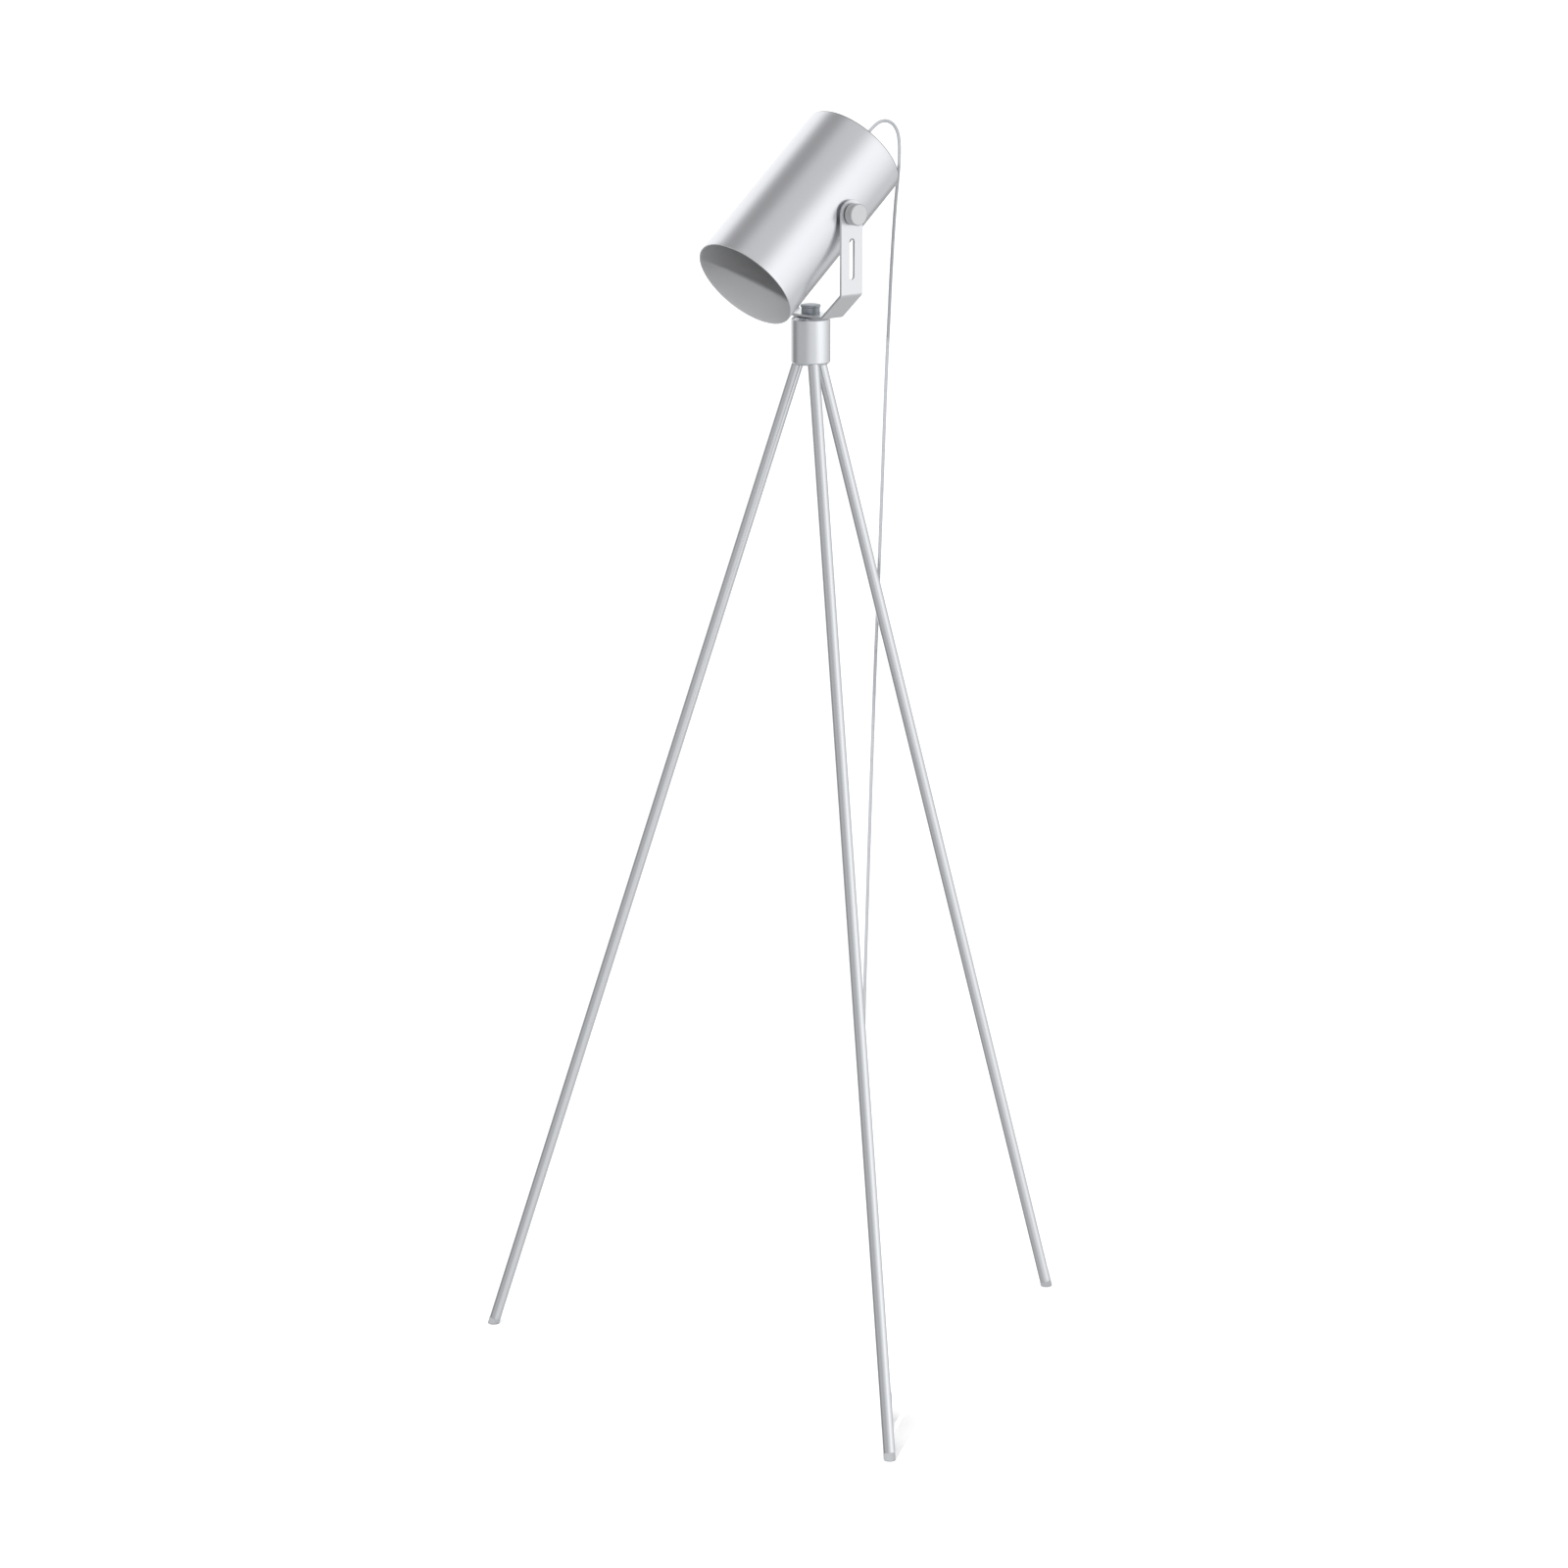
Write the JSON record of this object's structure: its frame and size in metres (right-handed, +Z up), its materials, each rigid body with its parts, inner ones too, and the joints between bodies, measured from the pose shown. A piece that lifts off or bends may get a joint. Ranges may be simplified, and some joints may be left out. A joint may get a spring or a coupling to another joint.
{
  "type": "tripod spotlight floor lamp",
  "caption": "Floor lamp with a tubular metal spotlight head that tilts in a slotted U bracket between side knobs, turns on a round hub and stands on slim tube legs; cord and plug.",
  "frame": {"origin": "the floor plumb below the hub's centre", "axes": "+Z up; the head tilts about an axis along X and faces -Y, nose down; the rear leg runs towards +Y"},
  "size_m": [0.7292, 0.6334, 1.5223],
  "materials": {
    "hub_metal": "satin",
    "leg_metal": "satin silver",
    "shade_metal": "satin silver",
    "bracket_metal": "satin silver",
    "knob_metal": "turned satin",
    "swivel_knob_metal": "dark satin",
    "washer_dark": "dark",
    "thread_steel": "zinc plated",
    "brass": "plain",
    "foot_plastic": "grey",
    "holder_plastic": "black, heat resistant",
    "switch_plastic": "black",
    "grip_plastic": "light grey",
    "cord_skin": "light grey sheath",
    "wire_skin": "brown",
    "tie_plastic": "grey",
    "pin_metal": "nickel plated"
  },
  "bodies": {
    "stand": {"hub": "hub_metal", "leg_rear": "leg_metal", "leg_left": "leg_metal", "leg_right": "leg_metal", "leg_stud_rear": "thread_steel", "leg_stud_left": "thread_steel", "leg_stud_right": "thread_steel", "foot_rear": "foot_plastic", "foot_left": "foot_plastic", "foot_right": "foot_plastic", "swivel_washer": "washer_dark", "cord_drop": "cord_skin", "cord_hank": "cord_skin", "cord_lead": "cord_skin", "cord_tie": "tie_plastic", "tie_mount": "tie_plastic", "plug_relief": "cord_skin", "plug_body": "cord_skin", "plug_pins": "pin_metal"},
    "swivel_knob": {"swivel_knob": "swivel_knob_metal", "swivel_screw": "thread_steel"},
    "yoke": {"bracket": "bracket_metal", "side_washer_right": "washer_dark", "side_washer_left": "washer_dark"},
    "head": {"shade": "shade_metal", "rear_cap": "shade_metal", "nipple": "thread_steel", "nipple_nut": "thread_steel", "cord_grip": "grip_plastic", "switch_body": "switch_plastic", "switch_wires": "wire_skin", "holder_cap": "holder_plastic", "holder_body": "holder_plastic", "screw_terminals": "brass", "socket_shell": "brass", "centre_contact": "brass", "spacer_right": "washer_dark", "spacer_left": "washer_dark", "insert_right": "brass", "insert_left": "brass", "cord_loop": "cord_skin"},
    "rocker": {"switch_rocker": "switch_plastic"},
    "knob_right": {"side_knob_right": "knob_metal", "side_screw_right": "thread_steel"},
    "knob_left": {"side_knob_left": "knob_metal", "side_screw_left": "thread_steel"}
  },
  "joints": [
    {"name": "pan", "type": "hinge", "parent": "stand", "child": "yoke", "pos_m": [0, 0, 1.283], "axis": [0, 0, 1], "range_deg": [-90, 90], "deforming": ["cord_loop", "cord_drop"]},
    {"name": "tilt", "type": "hinge", "parent": "yoke", "child": "head", "pos_m": [0, 0, 1.4093], "axis": [1, 0, 0], "range_deg": [-84.5, 8.5], "deforming": ["cord_loop", "cord_drop"]},
    {"name": "right_knob_turn", "type": "hinge", "parent": "head", "child": "knob_right", "pos_m": [0.0834, 0, 1.4093], "axis": [1, 0, 0], "range_deg": [0, 360]},
    {"name": "left_knob_turn", "type": "hinge", "parent": "head", "child": "knob_left", "pos_m": [-0.0834, 0, 1.4093], "axis": [-1, 0, 0], "range_deg": [0, 360]},
    {"name": "swivel_knob_turn", "type": "hinge", "parent": "stand", "child": "swivel_knob", "pos_m": [0, 0, 1.2863], "axis": [0, 0, 1], "range_deg": [0, 360]},
    {"name": "switch_rock", "type": "hinge", "parent": "head", "child": "rocker", "pos_m": [0, 0.04788, 1.49672], "axis": [1, 0, 0], "range_deg": [0, 16]}
  ]
}
